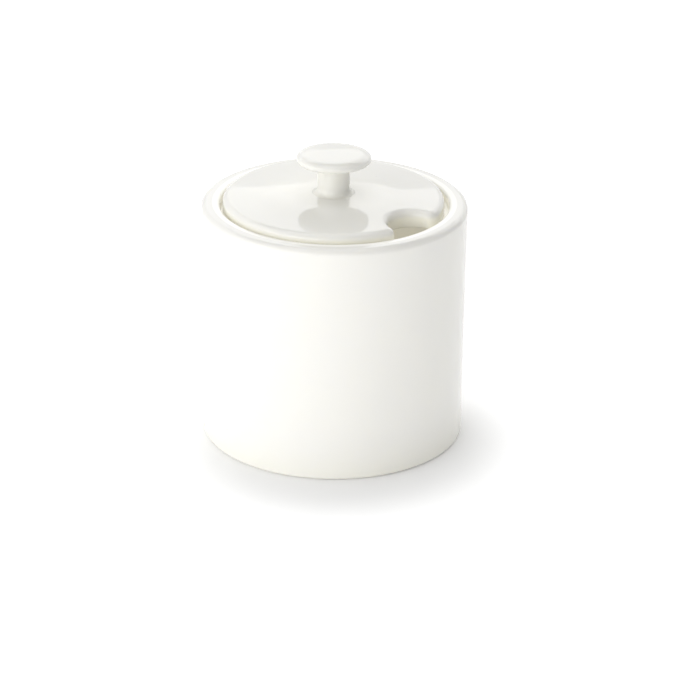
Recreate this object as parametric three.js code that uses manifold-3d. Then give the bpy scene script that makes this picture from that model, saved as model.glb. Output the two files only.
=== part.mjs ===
// A lidded porcelain sugar bowl. A straight-sided pot carries a seat inside its rim. The lid drops
// into the seat, has a notch in its edge for a spoon, and is lifted by a button knob.
// Millimetres, +Z up. The origin is the centre of the foot, on the surface the bowl stands on.
// -Y is the front, and +X is to the right as the bowl is seen from the front.
import * as THREE from 'three';
import { mergeVertices } from 'three/addons/utils/BufferGeometryUtils.js';
import Module from 'manifold-3d';

// Pot: outside
const POT_HEIGHT = 78;
const POT_RADIUS = 42.5; // just under the rounded rim
const FOOT_RADIUS = 42.1; // the wall leans in by this little towards the foot
const FOOT_ROUND = 1.4;
const RIM_ROUND = 2.15; // outer edge of the rim
// Pot: foot ring and floor
const FOOT_RING_INNER = 37.6;
const FOOT_RECESS = 1.5;
const RECESS_SLOPE = 1.2; // how far the recess's edge leans in
const FLOOR_HEIGHT = 5.4;
const FLOOR_ROUND = 6;
// Pot: lip, seat and inner wall
const LIP_RADIUS = 36.5;
const LIP_ROUND = 0.9;
const SEAT_HEIGHT = 74.75; // the lid rests on the seat at this height
const SEAT_INNER = 32.9;
const SEAT_ROUND = 0.8;
const SEAT_THICKNESS = 2.4;
const SEAT_SLOPE_HEIGHT = 5.6; // the sloping underside that carries the seat
const WALL = 3.9;

// Lid
const LID_SHIFT = -0.33; // the lid lies loose in its seat, a little to the left
const LID_RADIUS = 35.2;
const LID_FOOT_ROUND = 0.6;
const LID_EDGE_ROUND = 2.1;
const CROWN_HEIGHT = 81.25; // level pad in the middle of the domed top face
const PAD_RADIUS = 6;
const DOME_WIDTH = 18; // the fall steepens over this width round the pad, then stays constant
const DOME_SLOPE = 0.056;
const SKIRT = 3.2; // thickness of the turned-down edge
const HOLLOW_HEIGHT = 77.5; // ceiling under the lid
const HOLLOW_ROUND = 1.2;

// Spoon notch: a round bite out of the lid's edge, at the front right
const NOTCH_ANGLE = THREE.MathUtils.degToRad(-41.5);
const NOTCH_DISTANCE = 33.15; // from the lid's axis to the notch's
const NOTCH_RADIUS = 8;
const NOTCH_CORNER = 2.5; // rounds the two corners where the notch meets the lid's edge
const NOTCH_FLARE = 1.9; // rounds the notch's upper edge

// Knob: a round-edged button on a stem, luted to the pad
const STEM_RADIUS = 5.15;
const STEM_FOOT_REACH = 1.6; // fillet where the stem meets the lid
const STEM_FOOT_RISE = 2.2;
const STEM_NECK = 1.5; // fillet under the button
const KNOB_RADIUS = 11.85;
const KNOB_TOP = 94.4;
const KNOB_DOME = 0.1; // rise of the flat middle of the button's top
const KNOB_TOP_REACH = 3.6; // the upper rounding, measured inwards
const KNOB_TOP_DROP = 1.6;
const KNOB_BAND = 0.3; // upright part of the edge
const KNOB_UNDER_REACH = 2.2; // the lower rounding, measured inwards
const KNOB_UNDER_RISE = 1.3;

// Fineness of the turned shapes
const ROUND_STEPS = 72;
const KNOB_STEPS = 48;
const CUT_STEPS = 48;
const OVERRUN = 2; // how far a cutter passes the face that it cuts

const wasm = await Module();
wasm.setup();

function at(r, z) {
  return new THREE.Vector2(r, z);
}

// Points along an elliptical arc about (x, y). Angles are in degrees.
function arc(x, y, radiusX, radiusY, from, to, steps) {
  const angles = Array.from({ length: steps + 1 }, (_, i) => from + ((to - from) * i) / steps);
  return angles.map((angle) => {
    const t = THREE.MathUtils.degToRad(angle);
    return at(x + radiusX * Math.cos(t), y + radiusY * Math.sin(t));
  });
}

// A profile of (radius, height) points from axis to axis, turned about the vertical axis.
function turned(profile, steps) {
  return new THREE.LatheGeometry(profile, steps).rotateX(Math.PI / 2);
}

// A closed geometry as a solid that can be cut.
function solid(geometry) {
  const bare = geometry.clone();
  bare.deleteAttribute('normal');
  bare.deleteAttribute('uv');
  const merged = mergeVertices(bare);
  const mesh = new wasm.Mesh({
    numProp: 3,
    vertProperties: merged.attributes.position.array,
    triVerts: new Uint32Array(merged.index.array),
  });
  return new wasm.Manifold(mesh);
}

function geometryOf(manifold) {
  const { vertProperties, triVerts } = manifold.getMesh();
  const geometry = new THREE.BufferGeometry();
  geometry.setAttribute('position', new THREE.BufferAttribute(vertProperties, 3));
  geometry.setIndex(new THREE.BufferAttribute(triVerts, 1));
  geometry.computeVertexNormals();
  return geometry;
}

function glazed(name, geometry, color) {
  const material = new THREE.MeshStandardMaterial({ color, roughness: 0.12, metalness: 0 });
  const mesh = new THREE.Mesh(geometry, material);
  mesh.name = name;
  return mesh;
}

function potGeometry() {
  const seatUnder = SEAT_HEIGHT - SEAT_THICKNESS;
  const innerFoot = FOOT_RADIUS - WALL;
  const profile = [
    at(0, FOOT_RECESS),
    at(FOOT_RING_INNER - RECESS_SLOPE, FOOT_RECESS),
    at(FOOT_RING_INNER, 0),
    ...arc(FOOT_RADIUS - FOOT_ROUND, FOOT_ROUND, FOOT_ROUND, FOOT_ROUND, -90, 0, 4),
    ...arc(POT_RADIUS - RIM_ROUND, POT_HEIGHT - RIM_ROUND, RIM_ROUND, RIM_ROUND, 0, 90, 5),
    ...arc(LIP_RADIUS + LIP_ROUND, POT_HEIGHT - LIP_ROUND, LIP_ROUND, LIP_ROUND, 90, 180, 3),
    at(LIP_RADIUS, SEAT_HEIGHT),
    ...arc(SEAT_INNER + SEAT_ROUND, SEAT_HEIGHT - SEAT_ROUND, SEAT_ROUND, SEAT_ROUND, 90, 180, 3),
    at(SEAT_INNER, seatUnder),
    at(POT_RADIUS - WALL, seatUnder - SEAT_SLOPE_HEIGHT),
    ...arc(innerFoot - FLOOR_ROUND, FLOOR_HEIGHT + FLOOR_ROUND, FLOOR_ROUND, FLOOR_ROUND, 0, -90, 5),
    at(0, FLOOR_HEIGHT),
  ];
  return turned(profile, ROUND_STEPS);
}

// Height of the lid's top face at a distance from its axis.
function domeHeight(radius) {
  const out = Math.max(0, radius - PAD_RADIUS);
  const share = Math.min(1, out / DOME_WIDTH);
  const fall = DOME_WIDTH * (share ** 3 - share ** 4 * 0.5) + Math.max(0, out - DOME_WIDTH);
  return CROWN_HEIGHT - DOME_SLOPE * fall;
}

// The lid before it is cut: its rounded edge and its gently domed top face.
function lidBlank() {
  const domeStart = LID_RADIUS - LID_EDGE_ROUND;
  const edgeHeight = domeHeight(domeStart);
  const domeSteps = 6;
  const dome = Array.from({ length: domeSteps }, (_, i) => {
    const radius = domeStart - ((domeStart - PAD_RADIUS) * (i + 1)) / domeSteps;
    return at(radius, domeHeight(radius));
  });
  const profile = [
    at(0, SEAT_HEIGHT),
    ...arc(LID_RADIUS - LID_FOOT_ROUND, SEAT_HEIGHT + LID_FOOT_ROUND,
      LID_FOOT_ROUND, LID_FOOT_ROUND, -90, 0, 2),
    ...arc(domeStart, edgeHeight - LID_EDGE_ROUND, LID_EDGE_ROUND, LID_EDGE_ROUND, 0, 90, 5),
    ...dome,
    at(0, CROWN_HEIGHT),
  ];
  return turned(profile, ROUND_STEPS);
}

// Moves a cutter from the origin to the notch.
function toNotch(geometry) {
  const x = NOTCH_DISTANCE * Math.cos(NOTCH_ANGLE);
  const y = NOTCH_DISTANCE * Math.sin(NOTCH_ANGLE);
  return geometry.rotateZ(NOTCH_ANGLE).translate(x, y, 0);
}

// The notch in plan, drawn about the notch's own axis with +X pointing out of the lid: the round
// bite, and a rounded corner at each side that runs smoothly into the lid's edge.
function notchPlan() {
  const cornerDistance = LID_RADIUS - NOTCH_CORNER; // from the lid's axis
  const reach = NOTCH_RADIUS + NOTCH_CORNER; // from the notch's axis
  const cosine =
    (cornerDistance ** 2 + NOTCH_DISTANCE ** 2 - reach ** 2) / (2 * cornerDistance * NOTCH_DISTANCE);
  const spread = Math.acos(cosine);
  const cornerX = cornerDistance * cosine - NOTCH_DISTANCE;
  const cornerY = cornerDistance * Math.sin(spread);
  const outward = THREE.MathUtils.radToDeg(spread);
  const bearing = THREE.MathUtils.radToDeg(Math.atan2(cornerY, cornerX));
  const corner = arc(cornerX, cornerY, NOTCH_CORNER, NOTCH_CORNER, outward, bearing - 180, 6);
  const mirrored = corner.map((point) => at(point.x, -point.y)).reverse();
  const bite = arc(0, 0, NOTCH_RADIUS, NOTCH_RADIUS, bearing, 360 - bearing, 20).slice(1, -1);
  const beyond = LID_RADIUS - NOTCH_DISTANCE + 2 * OVERRUN;
  return [...corner, ...bite, ...mirrored, at(beyond, -cornerY), at(beyond, cornerY)];
}

function notchCutter() {
  const depth = CROWN_HEIGHT - SEAT_HEIGHT + 2 * OVERRUN;
  const cutter = new THREE.ExtrudeGeometry(new THREE.Shape(notchPlan()), { depth, bevelEnabled: false });
  return toNotch(cutter.translate(0, 0, SEAT_HEIGHT - OVERRUN));
}

// Rounds the notch's upper edge, then follows the dome up.
function flareCutter() {
  const flareEnd = NOTCH_RADIUS + NOTCH_FLARE;
  const edgeHeight = domeHeight(LID_RADIUS - LID_EDGE_ROUND);
  const profile = [
    at(0, edgeHeight - NOTCH_FLARE),
    ...arc(flareEnd, edgeHeight - NOTCH_FLARE, NOTCH_FLARE, NOTCH_FLARE, 180, 90, 5),
    at(flareEnd + OVERRUN, CROWN_HEIGHT),
    at(flareEnd + OVERRUN, CROWN_HEIGHT + OVERRUN),
    at(0, CROWN_HEIGHT + OVERRUN),
  ];
  return toNotch(turned(profile, CUT_STEPS));
}

// The hollow under the lid. It stops short of the notch by the skirt's thickness.
function hollow() {
  const radius = LID_RADIUS - SKIRT;
  const profile = [
    at(0, SEAT_HEIGHT - OVERRUN),
    at(radius, SEAT_HEIGHT - OVERRUN),
    ...arc(radius - HOLLOW_ROUND, HOLLOW_HEIGHT - HOLLOW_ROUND, HOLLOW_ROUND, HOLLOW_ROUND, 0, 90, 3),
    at(0, HOLLOW_HEIGHT),
  ];
  const collarRadius = NOTCH_RADIUS + SKIRT;
  const collar = new THREE.CylinderGeometry(collarRadius, collarRadius, POT_HEIGHT, CUT_STEPS);
  const standing = collar.rotateX(Math.PI / 2).translate(0, 0, SEAT_HEIGHT);
  return solid(turned(profile, ROUND_STEPS)).subtract(solid(toNotch(standing)));
}

function lidGeometry() {
  const lid = solid(lidBlank())
    .subtract(solid(notchCutter()))
    .subtract(solid(flareCutter()))
    .subtract(hollow());
  return geometryOf(lid);
}

function knobGeometry() {
  const plateau = KNOB_TOP - KNOB_DOME;
  const bandTop = plateau - KNOB_TOP_DROP;
  const bandFoot = bandTop - KNOB_BAND;
  const underside = bandFoot - KNOB_UNDER_RISE;
  const footRadius = STEM_RADIUS + STEM_FOOT_REACH;
  const neckRadius = STEM_RADIUS + STEM_NECK;
  const topRadius = KNOB_RADIUS - KNOB_TOP_REACH;
  const underRadius = KNOB_RADIUS - KNOB_UNDER_REACH;
  const profile = [
    at(0, CROWN_HEIGHT),
    ...arc(footRadius, CROWN_HEIGHT + STEM_FOOT_RISE, STEM_FOOT_REACH, STEM_FOOT_RISE, -90, -180, 5),
    ...arc(neckRadius, underside - STEM_NECK, STEM_NECK, STEM_NECK, 180, 90, 4),
    ...arc(underRadius, bandFoot, KNOB_UNDER_REACH, KNOB_UNDER_RISE, -90, 0, 6),
    ...arc(topRadius, bandTop, KNOB_TOP_REACH, KNOB_TOP_DROP, 0, 90, 7),
    at(0, KNOB_TOP),
  ];
  return turned(profile, KNOB_STEPS);
}

const bowl = new THREE.Group();
bowl.add(glazed('pot_body', potGeometry(), 0xf7f5ef));
const lid = new THREE.Group();
lid.position.x = LID_SHIFT;
lid.add(glazed('lid_shell', lidGeometry(), 0xf6f4ee));
lid.add(glazed('lid_knob', knobGeometry(), 0xf6f4ee));
bowl.add(lid);

export default bowl;
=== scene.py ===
"""A lidded porcelain sugar bowl, in Blender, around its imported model.

The pot, the lid and the knob are rebuilt here as fine meshes. Their outer sizes and their places
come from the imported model, and the smaller shapes from the values below. Lengths are in metres;
-Y is the front, and the camera looks from there.
"""
import math

import bpy
from mathutils import Matrix, Vector


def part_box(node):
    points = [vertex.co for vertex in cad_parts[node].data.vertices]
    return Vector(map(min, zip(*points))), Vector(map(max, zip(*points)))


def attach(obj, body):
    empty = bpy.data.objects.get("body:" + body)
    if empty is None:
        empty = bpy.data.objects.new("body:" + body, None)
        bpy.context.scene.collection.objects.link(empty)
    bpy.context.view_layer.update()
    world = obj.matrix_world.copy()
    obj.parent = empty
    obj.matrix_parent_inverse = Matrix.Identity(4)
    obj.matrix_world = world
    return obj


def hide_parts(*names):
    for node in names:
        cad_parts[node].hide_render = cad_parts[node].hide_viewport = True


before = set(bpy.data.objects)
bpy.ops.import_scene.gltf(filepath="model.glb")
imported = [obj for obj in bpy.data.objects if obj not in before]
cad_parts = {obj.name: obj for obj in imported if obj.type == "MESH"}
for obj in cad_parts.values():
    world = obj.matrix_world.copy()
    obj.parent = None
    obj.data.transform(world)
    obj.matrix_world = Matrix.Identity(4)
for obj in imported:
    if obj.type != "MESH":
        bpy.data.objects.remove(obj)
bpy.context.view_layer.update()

# ---------------------------------------------------------------- sizes taken from the frame
POT_LOW, POT_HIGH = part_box("pot_body")
LID_LOW, LID_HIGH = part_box("lid_shell")
KNOB_LOW, KNOB_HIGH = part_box("lid_knob")
POT_RADIUS = (POT_HIGH.x - POT_LOW.x) / 2
POT_HEIGHT = POT_HIGH.z
LID_RADIUS = (LID_HIGH.x - LID_LOW.x) / 2
LID_X = (LID_HIGH.x + LID_LOW.x) / 2  # the lid lies a little off the pot's axis
SEAT_HEIGHT = LID_LOW.z
CROWN_HEIGHT = LID_HIGH.z
KNOB_RADIUS = (KNOB_HIGH.x - KNOB_LOW.x) / 2
KNOB_TOP = KNOB_HIGH.z

# ---------------------------------------------------------------- pot
FOOT_RADIUS = POT_RADIUS - 0.0004
FOOT_ROUND = 0.0014
FOOT_RING_INNER = 0.0376
FOOT_RECESS = 0.0015
RECESS_REACH = 0.0016  # how far the recess's edge leans in
RECESS_ROUND = 0.0006
RING_EDGE = 0.0002  # where the ring's inner rounding is centred, outside its inner radius
RIM_ROUND = 0.00215
LIP_RADIUS = 0.0365
LIP_ROUND = 0.0009
SEAT_INNER = 0.0329
SEAT_ROUND = 0.0008
SEAT_THICKNESS = 0.0024
SEAT_SLOPE_HEIGHT = 0.0056
SEAT_FILLET = 0.0005
WALL = 0.0039
FLOOR_HEIGHT = 0.0054
FLOOR_ROUND = 0.006

# ---------------------------------------------------------------- lid
LID_EDGE_ROUND = 0.0021
LID_FOOT_ROUND = 0.0006
PAD_RADIUS = 0.006
DOME_WIDTH = 0.018
DOME_SLOPE = 0.056
SKIRT = 0.0032
HOLLOW_HEIGHT = 0.0775
HOLLOW_ROUND = 0.0012
HOLLOW_CORNER = 0.0015  # rounds the hollow beside the notch
HOLLOW_EDGE = 0.0004  # rounds the edge that rests on the seat, on the inside
NOTCH_ANGLE = math.radians(-41.5)
NOTCH_DISTANCE = 0.03315
NOTCH_RADIUS = 0.008
NOTCH_CORNER = 0.0026

# ---------------------------------------------------------------- knob
STEM_RADIUS = 0.00515
STEM_FOOT = (0.0016, 0.0022)  # reach and rise of the fillet on the lid
STEM_NECK = 0.0015
KNOB_DOME = 0.0001
KNOB_TOP_ROUND = (0.0036, 0.0016)  # reach inwards and drop of the upper edge
KNOB_BAND = 0.0003
KNOB_UNDER_ROUND = (0.0022, 0.0013)
KNOB_SINK = 0.0002  # the stem's foot runs into the lid, as luted clay does

ROUND_STEPS = 256

# ---------------------------------------------------------------- glaze
POT_TINT = (0.87, 0.862, 0.825)
LID_TINT = (0.85, 0.842, 0.80)
# warmer, lighter tint that paints bounced light in hollows and near the foot
BOUNCE_TINT = (0.92, 0.905, 0.82)
INNER_LIGHT = 0.12  # glow of the pot's inside: a stand-in, not a property of the glaze
INNER_LIGHT_COLOUR = (1, 0.97, 0.9, 1)
INNER_LIGHT_SOFT = 0.0005
INNER_LIGHT_DROP = 0.001  # it starts this far under the floor's surface
GLAZE_IOR = 1.5
SCATTER_WEIGHT = 0.15
SCATTER_RADIUS = (1.0, 0.95, 0.75)
SCATTER_SCALE = 0.003
BARE_COLOUR = (0.74, 0.72, 0.67, 1)
BARE_ROUGHNESS = 0.6
BARE_SOFT = 0.0002
FOOT_BARE = 0.0002
LID_BARE = 0.0002
GLOSS_FROM = 0.025
GLOSS_TO = 0.055
BOUNCE_EDGE = 0.0008
# Where bounced light is painted in as a warmer, lighter tint: radius from and to, height from and to,
# softness of the edge, amount.
POT_BOUNCE = (
    (0.0, 0.0385, 0.006, 0.0772, 0.0008, 1.0),  # the inside, the seat and the groove beside the lid
    # lighter towards the foot: painted light from the floor
    (0.04, 0.05, -0.02, 0.004, 0.01, 0.9),  # towards the foot
)
LID_BOUNCE = (
    (0.0, 0.04, 0.07, 0.0784, 0.0008, 1.0),  # the turned-down edge, the notch's wall, the underside
    (0.0, 0.0066, 0.08, 0.083, 0.0008, 0.4),  # round the stem's foot
)
# painted bounce light round the stem's foot and under the knob
KNOB_BOUNCE = (
    (0.0, 0.0075, 0.08, 0.0824, 0.0008, 0.6),
    (0.0, 0.0082, 0.0895, 0.0912, 0.0008, 0.8),
)
NOISE_SPAN = (0.3, 0.7)  # the part of a noise's range that is used
CLOUD_SCALE = 55
CLOUD_AMOUNT = 0.12
SMEAR_SCALE = 140
SPECK_SCALE = 150
SPECK_AMOUNT = 0.35
SPECK_CHOSEN = (0.95, 0.97)  # only cells with a value above this have a speck
SPECK_RADIUS = (0.02, 0.035)
SPECK_COLOUR = (0.34, 0.29, 0.22, 1)
WAVE_SCALE = 75
WAVE_DEPTH = 0.00006
PEEL_SCALE = 800
PEEL_DEPTH = 0.0000025

# ---------------------------------------------------------------- light
DOME_RADIUS = 2.2
WORLD_FILL = 0.235
# Rings of panels: elevation, panel width and height in degrees, then brightness by azimuth.
RINGS = (
    (11, 30, 18, {0: 1.1, 30: 1.2, 60: 0.35, 150: 0.3, 180: 1.7,
                  210: 2.7, 240: 2.4, 270: 1.15, 300: 0.8, 330: 0.65}),
    (25, 30, 10, {0: 1.7, 30: 1.8, 60: 0.4, 150: 0.25, 180: 0.8,
                  210: 1.5, 240: 1.7, 270: 1.0, 300: 0.8, 330: 1.1}),
    (38, 36, 16, {0: 1.7, 36: 1.7, 72: 0.4, 180: 0.35,
                  216: 0.7, 252: 0.85, 288: 0.6, 324: 1.2}),
    (76, 90, 18, {45: 1.4, 135: 0.9, 225: 1.0, 315: 1.3}),
)
FLOOR_HALF = 3.0
FLOOR_COLOUR = (0.96, 0.96, 0.96, 1)
FLOOR_ROUGHNESS = 0.9
# The floor's own glow is a stand-in. Its low patch is painted, to deepen the shadow.
FLOOR_GLOW = (0.06, 0.33)  # in the patch, and away from it
GLOW_CENTRE = (0.003, -0.014, 0)  # the patch lies in front of the bowl
GLOW_START = 0.036
GLOW_END = 0.066


# ================================================================ camera
def add_camera():
    """Looks down on the bowl from the front with a long lens."""
    lens = 160
    distance = 0.971
    elevation = math.radians(23.52)
    roll = math.radians(0.63)
    aim = Vector((0.0014, 0, 0.396 * POT_HEIGHT))
    turn = Matrix.Rotation(math.pi / 2 - elevation, 4, "X") @ Matrix.Rotation(roll, 4, "Z")
    data = bpy.data.cameras.new("camera")
    data.lens = lens
    data.sensor_width = 36
    camera = bpy.data.objects.new("camera", data)
    back = turn.to_3x3() @ Vector((0, 0, 1))
    camera.matrix_world = Matrix.Translation(aim + distance * back) @ turn
    bpy.context.scene.collection.objects.link(camera)
    bpy.context.scene.camera = camera


# ================================================================ mesh helpers
def arc(x, z, radius_x, radius_z, start, end, steps):
    """Points along an elliptical arc about (x, z); angles in degrees."""
    angles = [math.radians(start + (end - start) * i / steps) for i in range(steps + 1)]
    return [(x + radius_x * math.cos(t), z + radius_z * math.sin(t)) for t in angles]


def line(start, end, steps):
    """Points from start to end, without either."""
    return [
        tuple(a + (b - a) * i / steps for a, b in zip(start, end))
        for i in range(1, steps)
    ]


def piece(name, vertices, faces):
    mesh = bpy.data.meshes.new(name)
    mesh.from_pydata(vertices, [], faces)
    mesh.validate()
    mesh.shade_smooth()
    made = bpy.data.objects.new(name, mesh)
    bpy.context.scene.collection.objects.link(made)
    return made


def loft(name, loops, first_pole, last_pole):
    """A closed skin over loops of equal length, with a fan to a pole at each end."""
    size = len(loops[0])
    vertices = [first_pole] + [point for loop in loops for point in loop] + [last_pole]
    faces = [(0, 1 + (i + 1) % size, 1 + i) for i in range(size)]
    for row in range(len(loops) - 1):
        base = 1 + row * size
        for i in range(size):
            j = (i + 1) % size
            faces.append((base + i, base + j, base + size + j, base + size + i))
    end = len(vertices) - 1
    base = end - size
    faces += [(end, base + i, base + (i + 1) % size) for i in range(size)]
    return piece(name, vertices, faces)


def turned(name, profile, centre_x=0.0):
    """A profile of (radius, height) points from axis to axis, turned about a vertical axis."""
    angles = [2 * math.pi * i / ROUND_STEPS for i in range(ROUND_STEPS)]
    loops = [
        [(centre_x + r * math.cos(t), r * math.sin(t), z) for t in angles]
        for r, z in profile[1:-1]
    ]
    first, last = profile[0], profile[-1]
    return loft(name, loops, (centre_x, 0, first[1]), (centre_x, 0, last[1]))


# ================================================================ pot
def build_pot():
    seat_under = SEAT_HEIGHT - SEAT_THICKNESS
    inner_top = POT_RADIUS - WALL
    inner_foot = FOOT_RADIUS - WALL
    floor_start = inner_foot - FLOOR_ROUND
    recess_edge = FOOT_RING_INNER - RECESS_REACH
    seat_fillet = LIP_RADIUS - SEAT_FILLET
    seat_edge = SEAT_INNER + SEAT_ROUND
    slope_foot = (inner_top, seat_under - SEAT_SLOPE_HEIGHT)
    wall_foot = (FOOT_RADIUS, FOOT_ROUND)
    wall_top = (POT_RADIUS, POT_HEIGHT - RIM_ROUND)
    profile = [
        (0, FOOT_RECESS),
        *line((0, FOOT_RECESS), (recess_edge, FOOT_RECESS), 12),
        *arc(recess_edge, FOOT_RECESS - RECESS_ROUND, RECESS_ROUND, RECESS_ROUND, 90, 20, 5),
        *arc(FOOT_RING_INNER + RING_EDGE, RECESS_ROUND, RECESS_ROUND, RECESS_ROUND, 200, 270, 5),
        *arc(FOOT_RADIUS - FOOT_ROUND, FOOT_ROUND, FOOT_ROUND, FOOT_ROUND, -90, 0, 12),
        *line(wall_foot, wall_top, 24),
        *arc(POT_RADIUS - RIM_ROUND, POT_HEIGHT - RIM_ROUND, RIM_ROUND, RIM_ROUND, 0, 90, 14),
        *arc(LIP_RADIUS + LIP_ROUND, POT_HEIGHT - LIP_ROUND, LIP_ROUND, LIP_ROUND, 90, 180, 10),
        *arc(seat_fillet, SEAT_HEIGHT + SEAT_FILLET, SEAT_FILLET, SEAT_FILLET, 0, -90, 5),
        *arc(seat_edge, SEAT_HEIGHT - SEAT_ROUND, SEAT_ROUND, SEAT_ROUND, 90, 180, 8),
        *arc(seat_edge, seat_under + SEAT_ROUND, SEAT_ROUND, SEAT_ROUND, 180, 225, 4),
        *line((SEAT_INNER, seat_under), slope_foot, 4),
        slope_foot,
        *line(slope_foot, (inner_foot, FLOOR_HEIGHT + FLOOR_ROUND), 16),
        *arc(floor_start, FLOOR_HEIGHT + FLOOR_ROUND, FLOOR_ROUND, FLOOR_ROUND, 0, -90, 10),
        *line((floor_start, FLOOR_HEIGHT), (0, FLOOR_HEIGHT), 12),
        (0, FLOOR_HEIGHT),
    ]
    return turned("pot", profile)


# ================================================================ lid
def dome_height(radius):
    """Height of the lid's top face: level round the knob, then a fall that steepens to a cone."""
    out = max(0.0, radius - PAD_RADIUS)
    share = min(1.0, out / DOME_WIDTH)
    fall = DOME_WIDTH * (share**3 - share**4 / 2) + max(0.0, out - DOME_WIDTH)
    return CROWN_HEIGHT - DOME_SLOPE * fall


def lid_outline(radius, notch, corner):
    """The lid in plan, about its own axis: its round edge, the round notch, and a rounded corner
    at each side of the notch. The same counts of points at any size, so outlines can be lofted."""
    to_corner = radius - corner
    reach = notch + corner
    cosine = (to_corner**2 + NOTCH_DISTANCE**2 - reach**2) / (2 * to_corner * NOTCH_DISTANCE)
    spread = math.acos(cosine)
    corner_x = to_corner * cosine
    corner_y = to_corner * math.sin(spread)
    outward = math.degrees(spread)
    bearing = math.degrees(math.atan2(corner_y, corner_x - NOTCH_DISTANCE))
    edge = arc(0, 0, radius, radius, outward, 360 - outward, 240)
    upper = arc(corner_x, corner_y, corner, corner, bearing - 180, outward, 16)
    lower = arc(corner_x, -corner_y, corner, corner, -outward, 180 - bearing, 16)
    bite = arc(NOTCH_DISTANCE, 0, notch, notch, 360 - bearing, bearing, 64)
    points = edge[:-1] + lower[:-1] + bite[:-1] + upper[:-1]
    cos_a, sin_a = math.cos(NOTCH_ANGLE), math.sin(NOTCH_ANGLE)
    return [(x * cos_a - y * sin_a, x * sin_a + y * cos_a) for x, y in points]


def lid_inset(inset):
    return lid_outline(LID_RADIUS - inset, NOTCH_RADIUS + inset, NOTCH_CORNER - inset)


def raised(outline, height):
    """An outline as a loop of vertices; height is a number, or a function of a point."""
    def level(point):
        return height(point) if callable(height) else height

    return [(LID_X + x, y, level((x, y))) for x, y in outline]


def shrunk(outline, share):
    return [(x * share, y * share) for x, y in outline]


def build_lid():
    loops = []
    hollow_radius = LID_RADIUS - SKIRT
    hollow_notch = NOTCH_RADIUS + SKIRT

    def hollow_outline(inset):
        return lid_outline(hollow_radius - inset, hollow_notch + inset, HOLLOW_CORNER - inset)

    ceiling = hollow_outline(HOLLOW_ROUND)
    for step in range(1, 16):
        loops.append(raised(shrunk(ceiling, step / 16), HOLLOW_HEIGHT))
    for t, z in arc(0, HOLLOW_HEIGHT - HOLLOW_ROUND, HOLLOW_ROUND, HOLLOW_ROUND, 90, 0, 6):
        loops.append(raised(hollow_outline(HOLLOW_ROUND - t), z))
    for t, z in arc(0, SEAT_HEIGHT + HOLLOW_EDGE, HOLLOW_EDGE, HOLLOW_EDGE, 180, 270, 4):
        loops.append(raised(hollow_outline(-HOLLOW_EDGE - t), z))
    for t, z in arc(0, SEAT_HEIGHT + LID_FOOT_ROUND, LID_FOOT_ROUND, LID_FOOT_ROUND, -90, 0, 6):
        loops.append(raised(lid_inset(LID_FOOT_ROUND - t), z))
    top_start = lid_inset(LID_EDGE_ROUND)
    tops = [dome_height(math.hypot(x, y)) for x, y in top_start]
    for t, rise in arc(0, -LID_EDGE_ROUND, LID_EDGE_ROUND, LID_EDGE_ROUND, 0, 90, 14):
        outline = lid_inset(LID_EDGE_ROUND - t)
        loops.append([(LID_X + x, y, top + rise) for (x, y), top in zip(outline, tops)])
    for step in range(1, 32):
        outline = shrunk(top_start, 1 - step / 32)
        loops.append(raised(outline, lambda p: dome_height(math.hypot(*p))))
    return loft("lid", loops, (LID_X, 0, HOLLOW_HEIGHT), (LID_X, 0, CROWN_HEIGHT))


# ================================================================ knob
def build_knob():
    top_in, top_down = KNOB_TOP_ROUND
    under_in, under_up = KNOB_UNDER_ROUND
    plateau = KNOB_TOP - KNOB_DOME
    band_top = plateau - top_down
    band_foot = band_top - KNOB_BAND
    underside = band_foot - under_up
    foot_in, foot_up = STEM_FOOT
    foot_radius = STEM_RADIUS + foot_in
    neck_radius = STEM_RADIUS + STEM_NECK
    top_radius = KNOB_RADIUS - top_in
    under_radius = KNOB_RADIUS - under_in
    foot = CROWN_HEIGHT - KNOB_SINK
    shares = [1 - i / 16 for i in range(1, 17)]
    dome = [(top_radius * share, KNOB_TOP - KNOB_DOME * share**2) for share in shares]
    profile = [
        (0, foot),
        *line((0, foot), (foot_radius, foot), 4),
        *arc(foot_radius, CROWN_HEIGHT + foot_up, foot_in, foot_up, -90, -180, 16),
        *line((STEM_RADIUS, CROWN_HEIGHT + foot_up), (STEM_RADIUS, underside - STEM_NECK), 6),
        *arc(neck_radius, underside - STEM_NECK, STEM_NECK, STEM_NECK, 180, 90, 12),
        *line((neck_radius, underside), (under_radius, underside), 4),
        *arc(under_radius, band_foot, under_in, under_up, -90, 0, 20),
        *arc(top_radius, band_top, top_in, top_down, 0, 90, 20),
        *dome,
    ]
    return turned("knob", profile, LID_X)


# ================================================================ materials
def node(tree, kind, inputs=None, **settings):
    made = tree.nodes.new("ShaderNode" + kind)
    for name, value in settings.items():
        setattr(made, name, value)
    for name, value in (inputs or {}).items():
        if isinstance(value, bpy.types.NodeSocket):
            tree.links.new(value, made.inputs[name])
        else:
            made.inputs[name].default_value = value
    return made


def ramp(tree, value, start, end, low=0.0, high=1.0):
    """A smooth step from low to high while the value goes from start to end."""
    inputs = {"Value": value, "From Min": start, "From Max": end, "To Min": low, "To Max": high}
    return node(tree, "MapRange", inputs, interpolation_type="SMOOTHSTEP").outputs["Result"]


def combine(tree, operation, first, second):
    made = node(tree, "Math", {0: first, 1: second}, operation=operation, use_clamp=True)
    return made.outputs["Value"]


def band(tree, value, low, high, soft):
    """One between low and high, with soft ends."""
    rise = ramp(tree, value, low - soft, low + soft)
    fall = ramp(tree, value, high - soft, high + soft, 1.0, 0.0)
    return combine(tree, "MULTIPLY", rise, fall)


def noise(tree, place, scale, detail):
    inputs = {"Vector": place, "Scale": scale, "Detail": detail, "Roughness": 0.5}
    return node(tree, "TexNoise", inputs).outputs["Fac"]


def mixed_colour(tree, share, first, second):
    return node(tree, "Mix", {0: share, 6: first, 7: second}, data_type="RGBA").outputs[2]


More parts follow.
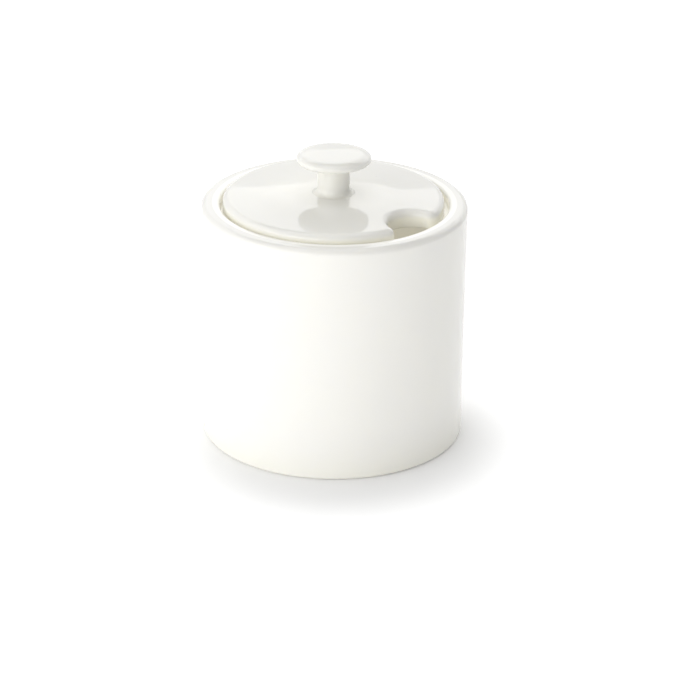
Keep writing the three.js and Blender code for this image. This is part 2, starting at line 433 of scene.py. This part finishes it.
def glaze(name, plain_tint, bounce_colour, axis_x, bounce_spots, bare_below, lit_within):
    """White porcelain under clear glaze, with bounced light painted in as a warmer, lighter tint in
    hollows and near the foot. Below bare_below the clay is bare. Closer to the axis than lit_within,
    and above the floor, the surface glows a little, which stands in for light that the panels don't
    bring inside."""
    material = bpy.data.materials.new(name)
    material.use_nodes = True
    tree = material.node_tree
    shader = tree.nodes["Principled BSDF"]
    place = node(tree, "TexCoord").outputs["Object"]
    offset = node(tree, "VectorMath", {0: place, 1: (axis_x, 0, 0)}, operation="SUBTRACT").outputs[0]
    flat = node(tree, "VectorMath", {0: offset, 1: (1, 1, 0)}, operation="MULTIPLY").outputs[0]
    radius = node(tree, "VectorMath", {0: flat}, operation="LENGTH").outputs["Value"]
    height = node(tree, "SeparateXYZ", {0: place}).outputs["Z"]

    # painted bounce light: how much of the warmer, lighter tint each place gets
    bounce_share = None
    for radius_from, radius_to, height_from, height_to, soft, amount in bounce_spots:
        across = band(tree, radius, radius_from, radius_to, min(soft, BOUNCE_EDGE))
        upright = band(tree, height, height_from, height_to, soft)
        here = combine(tree, "MULTIPLY", combine(tree, "MULTIPLY", across, upright), amount)
        bounce_share = here if bounce_share is None else combine(tree, "MAXIMUM", bounce_share, here)
    cloud = noise(tree, place, CLOUD_SCALE, 3)
    clouded = ramp(tree, cloud, *NOISE_SPAN, 0.0, CLOUD_AMOUNT)
    # painted bounce light plus the glaze's random cloudiness
    bounce_and_cloud = combine(tree, "ADD", bounce_share, clouded)
    colour = mixed_colour(tree, bounce_and_cloud, (*plain_tint, 1), (*bounce_colour, 1))

    cell = node(tree, "TexVoronoi", {"Vector": place, "Scale": SPECK_SCALE})
    value = node(tree, "SeparateColor", {0: cell.outputs["Color"]}).outputs[0]
    chosen = ramp(tree, value, *SPECK_CHOSEN)
    dot = ramp(tree, cell.outputs["Distance"], *SPECK_RADIUS, SPECK_AMOUNT, 0.0)
    speck = combine(tree, "MULTIPLY", chosen, dot)
    colour = mixed_colour(tree, speck, colour, SPECK_COLOUR)

    bare = ramp(tree, height, bare_below, bare_below + BARE_SOFT, 1.0, 0.0)
    colour = mixed_colour(tree, bare, colour, BARE_COLOUR)
    gloss = ramp(tree, noise(tree, place, SMEAR_SCALE, 4), *NOISE_SPAN, GLOSS_FROM, GLOSS_TO)
    gloss = node(tree, "Mix", {0: bare, 2: gloss, 3: BARE_ROUGHNESS}).outputs[0]

    wave = node(tree, "Bump", {
        "Strength": 1.0, "Distance": WAVE_DEPTH, "Height": noise(tree, place, WAVE_SCALE, 1),
    }).outputs["Normal"]
    peel = node(tree, "Bump", {
        "Strength": 1.0, "Distance": PEEL_DEPTH, "Height": noise(tree, place, PEEL_SCALE, 2),
        "Normal": wave,
    }).outputs["Normal"]
    tree.links.new(colour, shader.inputs["Base Color"])
    tree.links.new(gloss, shader.inputs["Roughness"])
    tree.links.new(peel, shader.inputs["Normal"])
    if lit_within:
        within = ramp(tree, radius, lit_within, lit_within + INNER_LIGHT_SOFT, 1.0, 0.0)
        start = FLOOR_HEIGHT - INNER_LIGHT_DROP
        above = ramp(tree, height, start, start + INNER_LIGHT_SOFT)
        inside = combine(tree, "MULTIPLY", within, above)
        glow = combine(tree, "MULTIPLY", inside, INNER_LIGHT)
        tree.links.new(glow, shader.inputs["Emission Strength"])
        shader.inputs["Emission Color"].default_value = INNER_LIGHT_COLOUR
    shader.inputs["IOR"].default_value = GLAZE_IOR
    shader.inputs["Subsurface Weight"].default_value = SCATTER_WEIGHT
    shader.inputs["Subsurface Radius"].default_value = SCATTER_RADIUS
    shader.inputs["Subsurface Scale"].default_value = SCATTER_SCALE
    return material


# ================================================================ floor and light
def add_floor():
    """A white table with a glow of its own, lower in a patch in front of the bowl. The patch
    doesn't follow the lid or the light."""
    corners = [(x * FLOOR_HALF, y * FLOOR_HALF, 0) for x, y in ((-1, -1), (1, -1), (1, 1), (-1, 1))]
    floor = piece("floor", corners, [(0, 1, 2, 3)])
    material = bpy.data.materials.new("floor_white")
    material.use_nodes = True
    tree = material.node_tree
    shader = tree.nodes["Principled BSDF"]
    shader.inputs["Base Color"].default_value = FLOOR_COLOUR
    shader.inputs["Roughness"].default_value = FLOOR_ROUGHNESS
    shader.inputs["Specular IOR Level"].default_value = 0.0
    place = node(tree, "TexCoord").outputs["Object"]
    offset = node(tree, "VectorMath", {0: place, 1: GLOW_CENTRE}, operation="SUBTRACT").outputs[0]
    distance = node(tree, "VectorMath", {0: offset}, operation="LENGTH").outputs["Value"]
    glow = ramp(tree, distance, GLOW_START, GLOW_END, *FLOOR_GLOW)
    tree.links.new(glow, shader.inputs["Emission Strength"])
    shader.inputs["Emission Color"].default_value = (1, 1, 1, 1)
    floor.data.materials.append(material)


def softbox(name, azimuth, elevation, width, height, radiance):
    """A soft panel on a dome round the bowl. Angles are in degrees; azimuth 0 is behind the bowl,
    90 to its right. The lamp's power follows from its size and brightness."""
    turn, rise = math.radians(azimuth), math.radians(elevation)
    flat = math.cos(rise)
    toward = Vector((math.sin(turn) * flat, math.cos(turn) * flat, math.sin(rise)))
    aim = Vector((0, 0, POT_HEIGHT / 2))
    data = bpy.data.lights.new(name, "AREA")
    data.shape = "RECTANGLE"
    data.size = 2 * DOME_RADIUS * flat * math.tan(math.radians(width / 2))
    data.size_y = 2 * DOME_RADIUS * math.tan(math.radians(height / 2))
    data.energy = radiance * math.pi * data.size * data.size_y
    lamp = bpy.data.objects.new(name, data)
    spin = toward.to_track_quat("Z", "Y").to_matrix().to_4x4()
    lamp.matrix_world = Matrix.Translation(aim + DOME_RADIUS * toward) @ spin
    bpy.context.scene.collection.objects.link(lamp)


def add_light():
    """Panels round the bowl and overhead, brightest at the front left and behind, and a weak fill."""
    world = bpy.data.worlds.new("studio")
    bpy.context.scene.world = world
    world.use_nodes = True
    world.node_tree.nodes["Background"].inputs["Color"].default_value = (1, 1, 1, 1)
    world.node_tree.nodes["Background"].inputs["Strength"].default_value = WORLD_FILL
    for elevation, width, height, panels in RINGS:
        for azimuth, radiance in panels.items():
            softbox("panel_%d_%d" % (elevation, azimuth), azimuth, elevation, width, height, radiance)


add_camera()
pot = build_pot()
lid = build_lid()
knob = build_knob()
for made, solid, body in (
    (pot, "pot_body", "pot"),
    (lid, "lid_shell", "lid"),
    (knob, "lid_knob", "lid"),
):
    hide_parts(solid)
    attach(made, body)
# each glaze gets its own table of painted bounce light
for made, slot, plain_tint, axis_x, bounce_spots, bare_below, lit_within in (
    (pot, "pot_glaze", POT_TINT, 0.0, POT_BOUNCE, FOOT_BARE, POT_RADIUS - WALL),
    (lid, "lid_glaze", LID_TINT, LID_X, LID_BOUNCE, SEAT_HEIGHT + LID_BARE, 0),
    (knob, "knob_glaze", LID_TINT, LID_X, KNOB_BOUNCE, 0.0, 0),
):
    material = glaze(slot, plain_tint, BOUNCE_TINT, axis_x, bounce_spots, bare_below, lit_within)
    made.data.materials.append(material)
add_floor()
add_light()
bpy.context.scene.view_settings.view_transform = "Standard"
